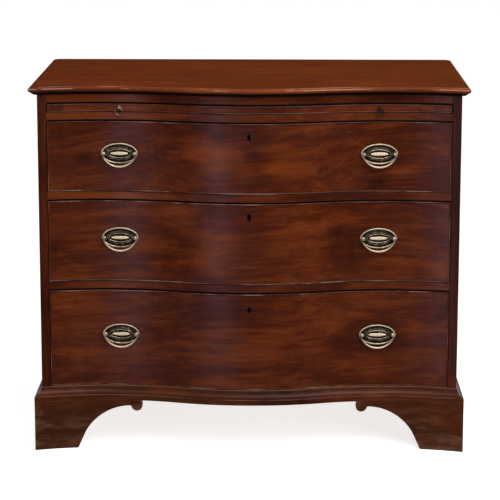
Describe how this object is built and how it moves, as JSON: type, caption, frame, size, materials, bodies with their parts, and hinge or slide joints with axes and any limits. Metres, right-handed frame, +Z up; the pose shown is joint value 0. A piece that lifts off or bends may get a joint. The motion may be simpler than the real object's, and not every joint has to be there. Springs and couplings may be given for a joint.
{
  "type": "chest of drawers",
  "caption": "Serpentine chest of drawers with a brushing slide, graduated cockbeaded drawers, oval swing handles, moulded top and base, and bracket feet.",
  "frame": {"origin": "middle of the outline on the floor, at floor height", "axes": "+X to the right seen from the front, -Y out of the front, +Z up"},
  "size_m": [1.016, 0.5859, 0.866],
  "materials": {
    "mahogany": "old waxed mahogany, reddish brown with a streaky figure, semi-gloss",
    "mahogany_top": "waxed mahogany faded to an orange brown, semi-gloss",
    "mahogany_dark": "darker waxed mahogany with worn arrises, semi-gloss",
    "oak": "dry unpolished oak",
    "pine": "dry unpolished pine, darkened with age",
    "brass": "old lacquered brass, worn bright on the high spots",
    "iron": "dark forged iron"
  },
  "bodies": {
    "carcass": {"top_board": "mahogany_top", "side_left": "mahogany", "side_right": "mahogany", "bottom_board": "pine", "top_rail": "mahogany", "slide_rail": "mahogany", "rail_1_2": "mahogany", "rail_2_3": "mahogany", "dust_boards": "pine", "runners": "oak", "stops": "oak", "back_boards": "pine", "base_moulding_front": "mahogany_dark", "base_moulding_sides": "mahogany_dark", "foot_front_left": "mahogany_dark", "foot_front_right": "mahogany_dark", "foot_rear_left": "mahogany_dark", "foot_rear_right": "mahogany_dark", "glue_blocks": "pine"},
    "brushing_slide": {"slide_board": "mahogany_top", "slide_clamps": "mahogany_top", "slide_ring_posts": "brass"},
    "slide_ring_left": {"slide_ring_left": "brass"},
    "slide_ring_right": {"slide_ring_right": "brass"},
    "drawer_1": {"drawer_1_front": "mahogany", "drawer_1_cockbead": "mahogany_dark", "drawer_1_sides": "oak", "drawer_1_back": "oak", "drawer_1_bottom": "pine", "drawer_1_lock_case": "iron", "drawer_1_keyhole_lining": "brass", "drawer_1_handle_plates": "brass", "drawer_1_handle_posts": "brass"},
    "drawer_1_lock_bolt": {"drawer_1_lock_bolt": "brass"},
    "drawer_1_bail_left": {"drawer_1_bail_left": "brass"},
    "drawer_1_bail_right": {"drawer_1_bail_right": "brass"},
    "drawer_2": {"drawer_2_front": "mahogany", "drawer_2_cockbead": "mahogany_dark", "drawer_2_sides": "oak", "drawer_2_back": "oak", "drawer_2_bottom": "pine", "drawer_2_lock_case": "iron", "drawer_2_keyhole_lining": "brass", "drawer_2_handle_plates": "brass", "drawer_2_handle_posts": "brass"},
    "drawer_2_lock_bolt": {"drawer_2_lock_bolt": "brass"},
    "drawer_2_bail_left": {"drawer_2_bail_left": "brass"},
    "drawer_2_bail_right": {"drawer_2_bail_right": "brass"},
    "drawer_3": {"drawer_3_front": "mahogany", "drawer_3_cockbead": "mahogany_dark", "drawer_3_sides": "oak", "drawer_3_back": "oak", "drawer_3_bottom": "pine", "drawer_3_lock_case": "iron", "drawer_3_keyhole_lining": "brass", "drawer_3_handle_plates": "brass", "drawer_3_handle_posts": "brass"},
    "drawer_3_lock_bolt": {"drawer_3_lock_bolt": "brass"},
    "drawer_3_bail_left": {"drawer_3_bail_left": "brass"},
    "drawer_3_bail_right": {"drawer_3_bail_right": "brass"}
  },
  "joints": [
    {"name": "brushing_slide_pull", "type": "slide", "parent": "carcass", "child": "brushing_slide", "axis": [0, -1, 0], "range_m": [0, 0.3]},
    {"name": "slide_ring_left_swing", "type": "hinge", "parent": "brushing_slide", "child": "slide_ring_left", "pos_m": [-0.30225, -0.23537, 0.814], "axis": [-0.9989, 0.0461, 0], "range_deg": [-10, 170]},
    {"name": "slide_ring_right_swing", "type": "hinge", "parent": "brushing_slide", "child": "slide_ring_right", "pos_m": [0.30225, -0.23537, 0.814], "axis": [-0.9989, -0.0461, 0], "range_deg": [-10, 170]},
    {"name": "drawer_1_pull", "type": "slide", "parent": "carcass", "child": "drawer_1", "axis": [0, -1, 0], "range_m": [0, 0.38]},
    {"name": "drawer_1_bolt_throw", "type": "slide", "parent": "drawer_1", "child": "drawer_1_lock_bolt", "axis": [0, 0, 1], "range_m": [0, 0.008]},
    {"name": "drawer_1_bail_left_swing", "type": "hinge", "parent": "drawer_1", "child": "drawer_1_bail_left", "pos_m": [-0.30248, -0.24037, 0.70718], "axis": [-0.9989, 0.0461, 0], "range_deg": [-8, 170]},
    {"name": "drawer_1_bail_right_swing", "type": "hinge", "parent": "drawer_1", "child": "drawer_1_bail_right", "pos_m": [0.30248, -0.24037, 0.70718], "axis": [-0.9989, -0.0461, 0], "range_deg": [-8, 170]},
    {"name": "drawer_2_pull", "type": "slide", "parent": "carcass", "child": "drawer_2", "axis": [0, -1, 0], "range_m": [0, 0.38]},
    {"name": "drawer_2_bolt_throw", "type": "slide", "parent": "drawer_2", "child": "drawer_2_lock_bolt", "axis": [0, 0, 1], "range_m": [0, 0.008]},
    {"name": "drawer_2_bail_left_swing", "type": "hinge", "parent": "drawer_2", "child": "drawer_2_bail_left", "pos_m": [-0.30248, -0.24037, 0.50776], "axis": [-0.9989, 0.0461, 0], "range_deg": [-8, 170]},
    {"name": "drawer_2_bail_right_swing", "type": "hinge", "parent": "drawer_2", "child": "drawer_2_bail_right", "pos_m": [0.30248, -0.24037, 0.50776], "axis": [-0.9989, -0.0461, 0], "range_deg": [-8, 170]},
    {"name": "drawer_3_pull", "type": "slide", "parent": "carcass", "child": "drawer_3", "axis": [0, -1, 0], "range_m": [0, 0.38]},
    {"name": "drawer_3_bolt_throw", "type": "slide", "parent": "drawer_3", "child": "drawer_3_lock_bolt", "axis": [0, 0, 1], "range_m": [0, 0.008]},
    {"name": "drawer_3_bail_left_swing", "type": "hinge", "parent": "drawer_3", "child": "drawer_3_bail_left", "pos_m": [-0.30248, -0.24037, 0.27582], "axis": [-0.9989, 0.0461, 0], "range_deg": [-8, 170]},
    {"name": "drawer_3_bail_right_swing", "type": "hinge", "parent": "drawer_3", "child": "drawer_3_bail_right", "pos_m": [0.30248, -0.24037, 0.27582], "axis": [-0.9989, -0.0461, 0], "range_deg": [-8, 170]}
  ]
}
